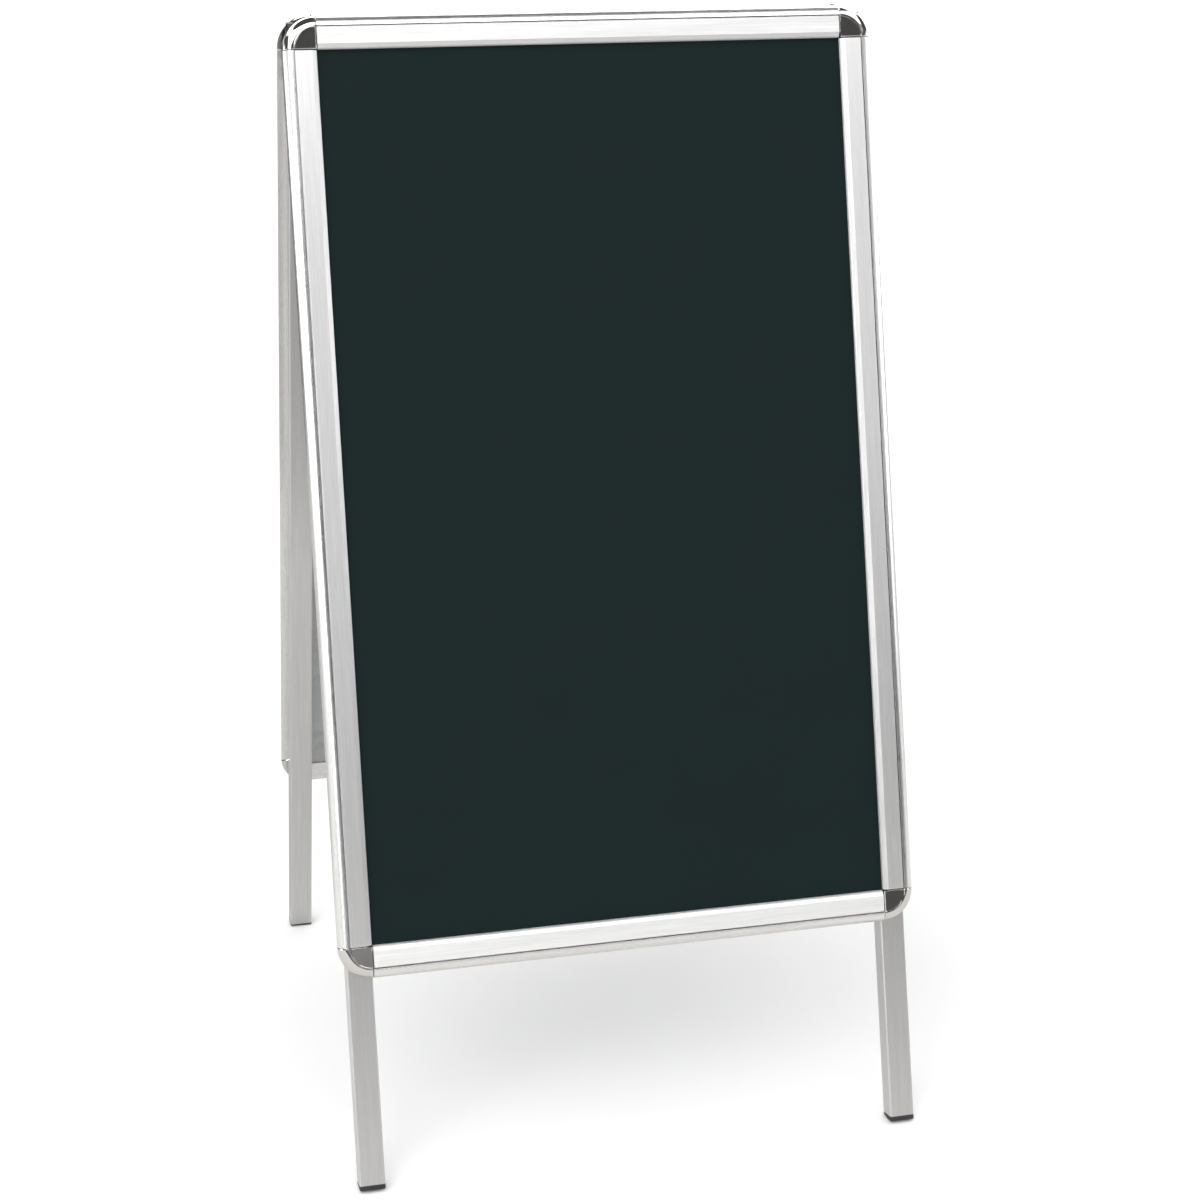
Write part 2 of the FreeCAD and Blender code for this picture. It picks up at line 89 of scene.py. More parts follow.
# Frame and legs
FRAME_BACK = 21.0
FRAME_WIDTH = 580.0
FRAME_HEIGHT = 910.0
FRAME_TOP_RISE = 52.0
LEG_WIDTH = 25.0
LEG_BACK = 1.0
LEG_WALL = 1.5
LEG_EDGE_RADIUS = 1.8
LEG_BORE_RADIUS = 0.3
LEG_INSET = 7.6
LEG_TOP = 14.0
FOOT_PAD_THICK = 4.8
FOOT_LEAST_HEIGHT = 2.2
PAD_EDGE_BEVEL = 0.7
PAD_BEVEL_SEGMENTS = 3

# Screw holes
SCREW_FROM_END = 9.0
CORNER_SCREW_DEPTH = 12.0
CORNER_SCREW_RADIUS = 1.35
CORNER_HOLE_OVERRUN = 1.0
LEG_SCREW_RADIUS = 1.25
LEG_SCREW_SPOTS = (-330.0, 0.0, 330.0)
LEG_HOLE_DEPTH = 7.0
PLUG_SCREW_RADIUS = 1.65
PLUG_HOLE_DEPTH = 4.0
HEAD_PLUG_LENGTH = 30.0
COUNTERSINK_OVER = 0.5      # how far a countersink starts outside its face
HOLE_SIDES = 24

# Mesh finish
EDGE_ROUNDING = 0.3         # radius of the rounding on sharp corners of a section
SHARP_TURN = math.radians(24)
ROUNDING_SHARE = 0.42       # most of a side that a rounding may take
SAME_POINT = 1e-4
ON_AXIS = 1e-6
SMOOTH_ANGLE = math.radians(42)
BEVEL_ANGLE = math.radians(35)
NORMAL_WEIGHT = 90

# Reflected studio. A direction's "left" is to the left of someone who faces the board, from the
# front or the rear, and its "height" is upwards. Both run from -1 to 1.
WHITE = 1.2                 # what the floor, the view and diffuse light see
ROOM_GLOW = 0.08
SOFT_EDGE = 0.08            # fade at the edge of each lit patch
BEYOND = 1.1                # past the end of either range
OVERHEAD_HEIGHT = (0.46, 0.84)
OVERHEAD_FADE = (-0.5, 0.25)
OVERHEAD_GLOW = (3.8, 6.3)  # at the ends of the fade
OVERHEAD_END = (0.48, 0.60)
OVERHEAD_END_SHARE = 0.4
WALLS = (                   # hand, then from, to, low, high and glow
    ("left", 0.42, 0.64, -0.07, 0.36, 5.8),
    ("left", 0.42, BEYOND, 0.36, 0.48, 0.7),
    ("left", 0.56, 0.90, -0.07, 0.36, 0.8),
    ("left", 0.82, BEYOND, -0.1, 0.22, 3.3),
    ("right", 0.42, BEYOND, 0.10, 0.36, 0.8),
    ("right", 0.42, BEYOND, 0.36, 0.48, 0.8),
    ("right", 0.82, BEYOND, -0.1, 0.22, 3.3),
)
HORIZON_HEIGHT = (-0.4, 0.12)
HORIZON_FADE = (-0.4, 0.1)
HORIZON_GLOW = (0.0, 0.4)
DARK_BESIDE = (0.70, 0.80)  # high on both sides the studio is dark
DARK_ABOVE = (0.26, 0.34)

# Floor and key light, in metres
FLOOR_SIZE = 80.0
FLOOR_LEVEL = -0.0005
FLOOR_COLOUR = (0.95, 0.95, 0.95)
FLOOR_ROUGHNESS = 0.9
CARPET_LEVEL = -0.0002
CARPET_TINT = (1.0, 0.98, 0.955)
CARPET_ROUGHNESS = 1.0
CARPETS = (                 # name, depth, y of its middle and shade, seen only in reflections
    ("far_front", 37.6, -21.2, 0.12),
    ("near_front", 2.7, -1.05, 0.72),
    ("near_rear", 2.1, 1.35, 0.5),
    ("far_rear", 37.6, 21.2, 0.12),
)
BOARD_MIDDLE = (0.0, 0.0, 0.6)
KEY_SPOT = (-2.2, -2.6, 3.4)
KEY_SIZE = 2.4
KEY_POWER = 45.0

# Camera. The focal length and principal point are in units of which the picture is IMAGE across.
# Angles are in radians and the spot is in millimetres.
IMAGE = 1200.0
SENSOR_WIDTH = 36.0
FOCAL = 2143.4384
PRINCIPAL = (504.0, 504.0)
YAW = 0.2132
PITCH = 0.2909
ROLL = 0.0054
CAMERA_SPOT = (-520.2175, -2051.8091, 1220.2279)
CLIP_END = 200.0

fold = next(joint for joint in frame["joints"] if joint["name"] == "leaf_fold")
LEAN = math.radians(fold["range_deg"][1]) / 2
HINGE_HEIGHT = fold["pos_m"][2] / MM
LEG_X = FRAME_WIDTH / 2 - LEG_INSET - LEG_WIDTH / 2
LEG_PLACES = {"left": -LEG_X, "right": LEG_X}
FRAME_CENTRE_Z = FRAME_TOP_RISE - FRAME_HEIGHT / 2
TUBE_END = (HINGE_HEIGHT + LEG_BACK * math.sin(LEAN) - FOOT_LEAST_HEIGHT) / math.cos(LEAN)
SIDES = {"bottom": 0, "left": 90, "top": 180, "right": 270}
CORNERS = {"bottom_left": 0, "top_left": 90, "top_right": 180, "bottom_right": 270}


# ---- Section outlines -------------------------------------------------------------------

def arc_points(centre, radius, start_deg, end_deg, steps):
    points = []
    for index in range(steps + 1):
        angle = math.radians(start_deg + (end_deg - start_deg) * index / steps)
        points.append((centre[0] + radius * math.cos(angle), centre[1] + radius * math.sin(angle)))
    return points


def without_repeats(points):
    kept = []
    for point in points:
        if not kept or math.dist(point, kept[-1]) > SAME_POINT:
            kept.append(point)
    if math.dist(kept[0], kept[-1]) < SAME_POINT:
        kept.pop()
    return kept


def rounded(points, radius, steps=3):
    """Closed outline with its sharp corners rounded, where the sides beside them leave room."""
    points = without_repeats(points)
    result = []
    for index, point in enumerate(points):
        here = Vector(point)
        back = Vector(points[index - 1]) - here
        ahead = Vector(points[(index + 1) % len(points)]) - here
        turn = math.pi - back.angle(ahead)
        if turn < SHARP_TURN:
            result.append(point)
            continue
        room = ROUNDING_SHARE * min(back.length, ahead.length)
        reach = min(radius * math.tan(turn / 2), room)
        first = here + back.normalized() * reach
        last = here + ahead.normalized() * reach
        for step in range(steps + 1):
            t = step / steps
            mixed = first * (1 - t) ** 2 + here * 2 * t * (1 - t) + last * t ** 2
            result.append((mixed.x, mixed.y))
    return result


def area_of(points):
    total = 0.0
    for (x0, y0), (x1, y1) in zip(points, points[1:] + points[:1]):
        total += x0 * y1 - x1 * y0
    return total / 2


def inset(points, amount):
    """Outline moved inwards by a small amount."""
    sign = 1 if area_of(points) > 0 else -1
    result = []
    for index, point in enumerate(points):
        before = Vector(points[index - 1])
        after = Vector(points[(index + 1) % len(points)])
        along = (after - before).normalized()
        inward = Vector((-along.y, along.x)) * sign
        moved = Vector(point) + inward * amount
        result.append((moved.x, moved.y))
    return result


def rail_outline():
    centre = (SHOULDER_RADIUS, RAIL_RISE - SHOULDER_RADIUS)
    neck_angle = math.degrees(math.asin(NECK_HALF / BEAD_RADIUS))
    neck_start = PIVOT[0] + math.sqrt(BEAD_RADIUS ** 2 - NECK_HALF ** 2)
    points = [(0, 0)]
    points += arc_points(centre, SHOULDER_RADIUS, 180, 90, steps=14)
    points += [(SHOULDER_TIP, RAIL_RISE), (SHOULDER_TIP, COVER_UNDERSIDE)]
    points += arc_points(centre, SHOULDER_RADIUS - WALL, 90, 180, steps=10)
    points += [(WALL, WALL), (POST_DEPTH, WALL), (POST_DEPTH, PIVOT[1] - NECK_HALF)]
    points += arc_points(PIVOT, BEAD_RADIUS, -neck_angle, neck_angle - 360, steps=18)
    points += [(neck_start, PIVOT[1] + NECK_HALF), (POST_FAR, PIVOT[1] + NECK_HALF), (POST_FAR, WALL),
               (WEB_DEPTH, WALL), (WEB_DEPTH, 0)]
    return rounded(points, EDGE_ROUNDING)


def cover_outline():
    bore_angle = math.degrees(math.asin((COVER_UNDERSIDE - PIVOT[1]) / BORE_RADIUS))
    lip_inner = RAIL_WIDTH - LIP_WALL
    points = [(RAIL_WIDTH - out, RAIL_RISE - down) for out, down in LIP_OUTSIDE]
    points += [(RAIL_WIDTH, LIP_FOOT), (lip_inner, LIP_FOOT)]
    points += [(lip_inner - out, COVER_UNDERSIDE - down) for out, down in LIP_INSIDE]
    points += arc_points(PIVOT, BORE_RADIUS, bore_angle, HOOK_END_DEG, steps=14)
    points += arc_points(PIVOT, HOOK_RADIUS, HOOK_END_DEG, HOOK_START_DEG, steps=12)
    points += COVER_EDGE
    return rounded(points, EDGE_ROUNDING)


def corner_outline():
    centre = (SHOULDER_RADIUS, RAIL_RISE - SHOULDER_RADIUS)
    inner_top = RAIL_RISE - CORNER_SKIN
    points = [(0, 0)]
    points += arc_points(centre, SHOULDER_RADIUS, 180, 90, steps=20)
    points += [(SHOULDER_TIP + inward, RAIL_RISE - down) for inward, down in GROOVE]
    points += [(RAIL_WIDTH, RAIL_RISE), (RAIL_WIDTH, inner_top)]
    points += arc_points(centre, inner_top - centre[1], 90, 180, steps=8)
    points += [(CORNER_SKIN, WALL), (RAIL_WIDTH, WALL), (RAIL_WIDTH, 0)]
    return without_repeats(points)


def rounded_rectangle(half_width, back, front, radius, steps=6):
    """Outline in X and Y, from two Y values."""
    x = half_width - radius
    points = []
    for centre, start in (((x, back - radius), 0), ((-x, back - radius), 90),
                          ((-x, front + radius), 180), ((x, front + radius), 270)):
        points += arc_points(centre, radius, start, start + 90, steps)
    return points


# ---- Mesh building ----------------------------------------------------------------------

def face_with_uv(mesh, uv_layer, vertices, uvs):
    face = mesh.faces.new(vertices)
    for loop, uv in zip(face.loops, uvs):
        loop[uv_layer].uv = uv
    return face


def swept(mesh, outline, half_length, bevel, place):
    """Bar with a section of (depth, rise), along X, with small bevels round both ends."""
    uv_layer = mesh.loops.layers.uv.verify()
    small = inset(outline, bevel)
    lengths = [0.0]
    for first, second in zip(outline, outline[1:] + outline[:1]):
        lengths.append(lengths[-1] + math.dist(first, second))
    stations = [(-half_length, small), (bevel - half_length, outline), (half_length - bevel, outline),
                (half_length, small)]
    rings = []
    for x, points in stations:
        rings.append([mesh.verts.new(place @ Vector((x, *point))) for point in points])
    count = len(outline)
    for (x0, _), (x1, _), ring0, ring1 in zip(stations, stations[1:], rings, rings[1:]):
        for index in range(count):
            other = (index + 1) % count
            start = lengths[index]
            end = lengths[index + 1]
            uvs = [(u * MM, v * MM) for u, v in ((x0, start), (x0, end), (x1, end), (x1, start))]
            face_with_uv(mesh, uv_layer, [ring0[index], ring0[other], ring1[other], ring1[index]], uvs)
    for ring, points in ((rings[0], small), (rings[-1], small)):
        face_with_uv(mesh, uv_layer, ring, [(point[0] * MM, point[1] * MM) for point in points])


def section_place():
    """Section's (x, depth, rise) to a lower rail: depth is +Z and rise is -Y."""
    return Matrix(((1, 0, 0, 0), (0, 0, -1, 0), (0, 1, 0, 0), (0, 0, 0, 1)))


def side_place(side):
    across = FRAME_HEIGHT if side in ("top", "bottom") else FRAME_WIDTH
    lowered = Matrix.Translation((0, -FRAME_BACK, -across / 2))
    turned = Matrix.Rotation(math.radians(SIDES[side]), 4, "Y")
    return Matrix.Translation((0, 0, FRAME_CENTRE_Z)) @ turned @ lowered @ section_place()


def opening_span(side):
    across = FRAME_WIDTH if side in ("top", "bottom") else FRAME_HEIGHT
    return across - 2 * RAIL_WIDTH


def block(mesh, low, high, place=Matrix()):
    """Closed box between two corners."""
    uv_layer = mesh.loops.layers.uv.verify()
    made = {}
    for corner in range(8):
        picks = [(low, high)[corner >> axis & 1][axis] for axis in range(3)]
        made[corner] = mesh.verts.new(place @ Vector(picks))
    for a, b, c, d, axis in ((0, 2, 3, 1, 2), (4, 5, 7, 6, 2), (0, 1, 5, 4, 1), (2, 6, 7, 3, 1),
                             (0, 4, 6, 2, 0), (1, 3, 7, 5, 0)):
        vertices = [made[index] for index in (a, b, c, d)]
        flat = [i for i in range(3) if i != axis]
        uvs = [(v.co[flat[0]] * MM, v.co[flat[1]] * MM) for v in vertices]
        face_with_uv(mesh, uv_layer, vertices, uvs)


def prism(mesh, outline, z0, z1, hole=None):
    """Upright bar or tube with a section in X and Y. UVs run up it."""
    uv_layer = mesh.loops.layers.uv.verify()
    count = len(outline)

    def wall(points, outward):
        low = [mesh.verts.new((x, y, z0)) for x, y in points]
        high = [mesh.verts.new((x, y, z1)) for x, y in points]
        length = 0.0
        for index in range(count):
            other = (index + 1) % count
            step = math.dist(points[index], points[other])
            corners = [low[index], low[other], high[other], high[index]]
            uvs = [(z0, length), (z0, length + step), (z1, length + step), (z1, length)]
            uvs = [(u * MM, v * MM) for u, v in uvs]
            if not outward:
                corners, uvs = corners[::-1], uvs[::-1]
            face_with_uv(mesh, uv_layer, corners, uvs)
            length += step
        return low, high

    low, high = wall(outline, True)
    if hole is None:
        face_with_uv(mesh, uv_layer, low[::-1], [(x * MM, y * MM) for x, y in outline[::-1]])
        face_with_uv(mesh, uv_layer, high, [(x * MM, y * MM) for x, y in outline])
        return
    inner_low, inner_high = wall(hole, False)
    for index in range(count):
        other = (index + 1) % count
        for outer, inner in ((low, inner_low), (high, inner_high)):
            ring = [outer[index], outer[other], inner[other], inner[index]]
            face_with_uv(mesh, uv_layer, ring, [(v.co.x * MM, v.co.y * MM) for v in ring])


def revolved_corner(mesh, outline, bevel, steps=28):
    """Quarter turn of a section about the opening's corner, from -Z round to -X, with bevelled ends."""
    uv_layer = mesh.loops.layers.uv.verify()
    count = len(outline)
    axis = [abs(depth - RAIL_WIDTH) < ON_AXIS for depth, _ in outline]
    small = inset(outline, bevel)
    start = [mesh.verts.new((0, -rise, depth - RAIL_WIDTH)) for depth, rise in small]
    end = [mesh.verts.new((depth - RAIL_WIDTH, -rise, 0)) for depth, rise in small]
    rings = [[None] * count for _ in range(steps + 1)]
    for index, (depth, rise) in enumerate(outline):
        radius = RAIL_WIDTH - depth
        if axis[index]:
            pole = mesh.verts.new((-bevel, -rise, -bevel))
            for ring in rings:
                ring[index] = pole
            continue
        first = math.asin(bevel / radius)
        for step, ring in enumerate(rings):
            angle = first + (math.pi / 2 - 2 * first) * step / steps
            ring[index] = mesh.verts.new((-radius * math.sin(angle), -rise, -radius * math.cos(angle)))

    def face(*vertices):
        face_with_uv(mesh, uv_layer, vertices, [(v.co.x * MM, v.co.z * MM) for v in vertices])

    for index in range(count):
        other = (index + 1) % count
        if axis[index] and axis[other]:
            face(start[index], start[other], rings[0][other], rings[0][index])
            face(end[index], end[other], rings[0][other], rings[0][index])
            continue
        for outside, ring in ((start, rings[0]), (end, rings[-1])):
            face(outside[index], outside[other], ring[other], ring[index])
        if axis[index] or axis[other]:
            centre, moving = (index, other) if axis[index] else (other, index)
            face(rings[0][centre], *[ring[moving] for ring in rings])
            continue
        for first_ring, second_ring in zip(rings, rings[1:]):
            face(first_ring[index], first_ring[other], second_ring[other], second_ring[index])
    face(*start)
    face(*end)


def leaf_matrix(leaf):
    lean = Matrix.Rotation(-LEAN, 4, "X")
    half_turn = Matrix.Rotation(math.pi if leaf == "rear" else 0.0, 4, "Z")
    return Matrix.Translation((0, 0, HINGE_HEIGHT * MM)) @ half_turn @ lean


def cut_holes(piece, holes):
    """Cut countersunk holes along Y.

    Each is (radius, x, y of the face, z, depth). A depth below 0 runs towards +Y.
    """
    mesh = bmesh.new()
    last_angle = 360 - 360 / HOLE_SIDES
    for radius, x, y, z, depth in holes:
        sense = math.copysign(1, depth)
        rings = [(2 * radius + COUNTERSINK_OVER, COUNTERSINK_OVER), (radius, -radius),
                 (radius, -abs(depth))]
        loops = []
        for ring_radius, level in rings:
            circle = arc_points((x, z), ring_radius, 0, last_angle, HOLE_SIDES - 1)
            loops.append([mesh.verts.new((a * MM, (y + sense * level) * MM, b * MM)) for a, b in circle])
        for first, second in zip(loops, loops[1:]):
            for index in range(HOLE_SIDES):
                other = (index + 1) % HOLE_SIDES
                mesh.faces.new([first[index], first[other], second[other], second[index]])
        mesh.faces.new(loops[0])
        mesh.faces.new(loops[-1])
    bmesh.ops.recalc_face_normals(mesh, faces=mesh.faces)
    data = bpy.data.meshes.new("cutter")
    mesh.to_mesh(data)
    mesh.free()
    cutter = bpy.data.objects.new("cutter", data)
    bpy.context.scene.collection.objects.link(cutter)
    cutter.matrix_world = piece.matrix_world.copy()
    modifier = piece.modifiers.new("holes", "BOOLEAN")
    modifier.operation = "DIFFERENCE"
    modifier.solver = "EXACT"
    modifier.object = cutter
    bpy.context.view_layer.update()
    graph = bpy.context.evaluated_depsgraph_get()
    result = bpy.data.meshes.new_from_object(piece.evaluated_get(graph))
    piece.modifiers.remove(modifier)
    old = piece.data
    piece.data = result
    bpy.data.meshes.remove(old)
    bpy.data.objects.remove(cutter)
    bpy.data.meshes.remove(data)


def finished(name, mesh, leaf, body, node, material, holes=(), bevel=0.0, segments=2):
    """Turn a mesh in millimetres into a piece that stands for a CAD node."""
    bmesh.ops.recalc_face_normals(mesh, faces=mesh.faces)
    for vertex in mesh.verts:
        vertex.co *= MM
    data = bpy.data.meshes.new(name)
    mesh.to_mesh(data)
    mesh.free()
    data.materials.append(material)
    piece = bpy.data.objects.new(name, data)
    bpy.context.scene.collection.objects.link(piece)
    piece.matrix_world = leaf_matrix(leaf)
    if holes:
        cut_holes(piece, holes)
    data = piece.data
    for polygon in data.polygons:
        polygon.use_smooth = True
    data.set_sharp_from_angle(angle=SMOOTH_ANGLE)
    if bevel:
        edges = piece.modifiers.new("edges", "BEVEL")
        edges.width = bevel * MM
        edges.segments = segments
        edges.limit_method = "ANGLE"
        edges.angle_limit = BEVEL_ANGLE
        edges.use_clamp_overlap = True
    normals = piece.modifiers.new("normals", "WEIGHTED_NORMAL")
    normals.keep_sharp = True
    normals.weight = NORMAL_WEIGHT
    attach(piece, body)
    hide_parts(node)
    return piece


# ---- Materials --------------------------------------------------------------------------


class Shader:
    """Small helper that builds one material's node tree."""

    def __init__(self, name, slot, colour, metallic, roughness):
        self.material = bpy.data.materials.new(name)
        self.material.use_nodes = True
        self.tree = self.material.node_tree
        self.surface = self.tree.nodes["Principled BSDF"]
        self.surface.inputs["Base Color"].default_value = (*colour, 1)
        self.surface.inputs["Metallic"].default_value = metallic
        self.surface.inputs["Roughness"].default_value = roughness

    def node(self, kind, **values):
        made = self.tree.nodes.new(kind)
        for key, value in values.items():
            if key in made.inputs.keys():
                made.inputs[key].default_value = value
            else:
                setattr(made, key, value)
        return made

    def link(self, output, target):
        self.tree.links.new(output, target)

    def coordinates(self, kind, scale):
        source = self.node("ShaderNodeTexCoord")
        mapping = self.node("ShaderNodeMapping", Scale=scale)
        self.link(source.outputs[kind], mapping.inputs["Vector"])
        return mapping.outputs["Vector"]

    def noise(self, vector, scale=1.0, detail=3.0, roughness=0.5):
        made = self.node("ShaderNodeTexNoise", Scale=scale, Detail=detail, Roughness=roughness)
        self.link(vector, made.inputs["Vector"])
        return made.outputs["Fac"]

    def object_noise(self, scale, detail):
        return self.noise(self.coordinates("Object", (1, 1, 1)), scale, detail)

    def ranged(self, value, low, high, start=0.3, end=0.7):
        made = self.node("ShaderNodeMapRange")
        made.inputs["From Min"].default_value = start
        made.inputs["From Max"].default_value = end
        made.inputs["To Min"].default_value = low
        made.inputs["To Max"].default_value = high
        self.link(value, made.inputs["Value"])
        return made.outputs["Result"]

    def blend_colours(self, factor, first, second):
        made = self.node("ShaderNodeMix", data_type="RGBA")
        colours = [socket for socket in made.inputs if socket.type == "RGBA"]
        for socket, colour in zip(colours, (first, second)):
            socket.default_value = (*colour, 1)
        self.link(factor, made.inputs[0])
        return next(socket for socket in made.outputs if socket.type == "RGBA")

    def weighted(self, first, second, share):
        """First value times a share, plus the second times what is left."""
        total = self.node("ShaderNodeMath", operation="ADD")
        for socket, value, weight in zip(total.inputs, (first, second), (share, 1 - share)):
            scaled = self.node("ShaderNodeMath", operation="MULTIPLY")
            self.link(value, scaled.inputs[0])
            scaled.inputs[1].default_value = weight
            self.link(scaled.outputs[0], socket)
        return total.outputs[0]

    def colour_from(self, factor, first, second):
        self.link(self.blend_colours(factor, first, second), self.surface.inputs["Base Color"])

    def roughness_from(self, value, low, high, start=0.3, end=0.7):
        self.link(self.ranged(value, low, high, start, end), self.surface.inputs["Roughness"])

    def bump(self, height, strength, distance):
        made = self.node("ShaderNodeBump", Strength=strength, Distance=distance)
        self.link(height, made.inputs["Height"])
        self.link(made.outputs["Normal"], self.surface.inputs["Normal"])


def grey(value):
    return (value, value, value)


def brushed_metal(name, slot, dark, light, roughness, anisotropy):
    """Anodised metal with a grain along the UV's first axis."""
    shader = Shader(name, slot, light, metallic=1.0, roughness=roughness)
    fine = shader.noise(shader.coordinates("UV", (22, 900, 1)), detail=4.0, roughness=0.65)
    broad = shader.noise(shader.coordinates("UV", (6, 160, 1)), detail=2.0)
    grain = shader.weighted(fine, broad, share=0.65)
    shader.colour_from(shader.ranged(grain, 0.0, 1.0), dark, light)
    shader.roughness_from(grain, roughness + 0.05, roughness - 0.05)
    shader.bump(grain, strength=0.25, distance=0.00002)
    shader.surface.inputs["Anisotropic"].default_value = anisotropy
    shader.surface.inputs["Anisotropic Rotation"].default_value = 0.25
    tangent = shader.node("ShaderNodeTangent", direction_type="UV_MAP")
    shader.link(tangent.outputs["Tangent"], shader.surface.inputs["Tangent"])
    return shader.material


def chrome():
    shader = Shader("bright_chrome", "corner_chrome", (0.72, 0.70, 0.68), metallic=1.0, roughness=0.07)
    smudge = shader.object_noise(scale=90.0, detail=4.0)
    shader.roughness_from(smudge, 0.04, 0.09)
    shader.colour_from(smudge, (0.66, 0.64, 0.62), (0.75, 0.735, 0.72))
    ripple = shader.object_noise(scale=160.0, detail=1.0)
    shader.bump(ripple, strength=0.04, distance=0.0002)
    return shader.material


def slate():
    shader = Shader("slate_coating", "chalkboard_face", (0.0115, 0.0195, 0.0205), metallic=0.0,
                    roughness=0.72)
    flattened = shader.coordinates("Object", (1.0, 1.0, 1.6))
    haze = shader.noise(flattened, scale=7.0, detail=5.0, roughness=0.6)
    clouds = shader.ranged(haze, 0.0, 1.0, start=0.25, end=0.75)
    shader.colour_from(clouds, (0.0060, 0.0127, 0.0136), (0.0074, 0.0147, 0.0156))
    shader.roughness_from(haze, 0.66, 0.8)
    tooth = shader.object_noise(scale=1400.0, detail=2.0)
    shader.bump(tooth, strength=0.25, distance=0.00008)
    shader.surface.inputs["Specular IOR Level"].default_value = 0.08
    return shader.material


def zinc():
    """Galvanised sheet with spangle, a patchwork of crystals of different brightness."""
    shader = Shader("zinc_sheet", "galvanised_sheet", (0.36, 0.37, 0.38), metallic=0.85, roughness=0.5)
    cells = shader.node("ShaderNodeTexVoronoi", Scale=110.0)
    shader.link(shader.coordinates("Object", (1, 1, 1)), cells.inputs["Vector"])
    split = shader.node("ShaderNodeSeparateColor")
    shader.link(cells.outputs["Color"], split.inputs["Color"])
    spangle = split.outputs["Red"]
    shader.colour_from(spangle, (0.40, 0.41, 0.42), (0.50, 0.51, 0.52))
    shader.roughness_from(spangle, 0.42, 0.56, start=0.0, end=1.0)
    grain = shader.object_noise(scale=900.0, detail=2.0)
    shader.bump(grain, strength=0.08, distance=0.00005)
    return shader.material


def rubber():
    shader = Shader("black_rubber", "foot_rubber", (0.014, 0.0145, 0.016), metallic=0.0, roughness=0.5)
    grain = shader.object_noise(scale=700.0, detail=3.0)
    dust = shader.object_noise(scale=60.0, detail=4.0)
    shader.colour_from(shader.ranged(dust, 0.0, 1.0), (0.012, 0.0125, 0.014), (0.024, 0.024, 0.025))
    shader.roughness_from(dust, 0.42, 0.6)
    shader.bump(grain, strength=0.3, distance=0.0001)
    return shader.material


def nylon():
    shader = Shader("moulded_nylon", "hinge_nylon", (0.02, 0.02, 0.022), metallic=0.0, roughness=0.45)
    grain = shader.object_noise(scale=1100.0, detail=3.0)
    shader.roughness_from(grain, 0.38, 0.55)
    shader.colour_from(grain, (0.017, 0.017, 0.019), (0.03, 0.03, 0.032))
    shader.bump(grain, strength=0.3, distance=0.00008)
    return shader.material


def small_steel(name, slot, colour, roughness):
    shader = Shader(name, slot, colour, metallic=1.0, roughness=roughness)
    grain = shader.object_noise(scale=1500.0, detail=3.0)
    darker = tuple(0.8 * channel for channel in colour)
    shader.colour_from(grain, darker, colour)
    shader.roughness_from(grain, roughness - 0.07, roughness + 0.07)
    shader.bump(grain, strength=0.15, distance=0.00003)
    return shader.material


rail_metal = brushed_metal("rail_anodised", "rail_aluminium", grey(0.74), grey(0.90), roughness=0.27,
                           anisotropy=0.6)
cover_metal = brushed_metal("cover_anodised", "cover_aluminium", grey(0.80), grey(0.96), roughness=0.44,
                            anisotropy=0.9)
leg_metal = brushed_metal("leg_anodised", "leg_aluminium", grey(0.60), grey(0.72), roughness=0.42,
                          anisotropy=0.6)
chrome_metal = chrome()
slate_coat = slate()
zinc_coat = zinc()
foot_rubber = rubber()
hinge_nylon = nylon()
screw_steel = small_steel("screw_zinc", "screw_steel", (0.62, 0.62, 0.61), roughness=0.3)
pin_steel = small_steel("pin_zinc", "pin_steel", grey(0.62), roughness=0.28)
spring_steel = small_steel("spring_strip", "spring_steel", (0.4, 0.4, 0.41), roughness=0.35)


# ---- Pieces of a leaf -------------------------------------------------------------------

def seen_name(local_name, leaf):
    """Left and right as seen from the front of the board, for either leaf."""
    swap = {"left": "right", "right": "left"} if leaf == "rear" else {}
    return leaf + "_" + "_".join(swap.get(word, word) for word in local_name.split("_"))


def leg_screw_holes(x):
    """From inside an upright rail's web, through the front wall of the leg behind it."""
    face = -FRAME_BACK - WALL
    return [(LEG_SCREW_RADIUS, x, face, FRAME_CENTRE_Z + along, -LEG_HOLE_DEPTH)
            for along in LEG_SCREW_SPOTS]


def make_rails(leaf):
    for side in SIDES:
        place = side_place(side)
        span = opening_span(side)
        mesh = bmesh.new()
        swept(mesh, rail_outline(), span / 2 - RAIL_END_GAP, RAIL_END_BEVEL, place)
        holes = []
        if side in LEG_PLACES:
            for end in (-1, 1):
                spot = place @ Vector((end * (span / 2 - SCREW_FROM_END), CORNER_SCREW_DEPTH, 0))
                holes.append((CORNER_SCREW_RADIUS, spot.x, spot.y, spot.z, WALL + CORNER_HOLE_OVERRUN))
            holes += leg_screw_holes(LEG_PLACES[side])
        node = seen_name(side + "_rail", leaf)
        finished(node + "_extrusion", mesh, leaf, leaf + "_leaf", node, rail_metal, holes)


def make_covers(leaf):
    for side in SIDES:
        mesh = bmesh.new()
        half_length = opening_span(side) / 2 - COVER_END_GAP
        swept(mesh, cover_outline(), half_length, COVER_END_BEVEL, side_place(side))
        node = seen_name(side + "_cover", leaf)
        finished(node + "_profile", mesh, leaf, node, node, cover_metal)


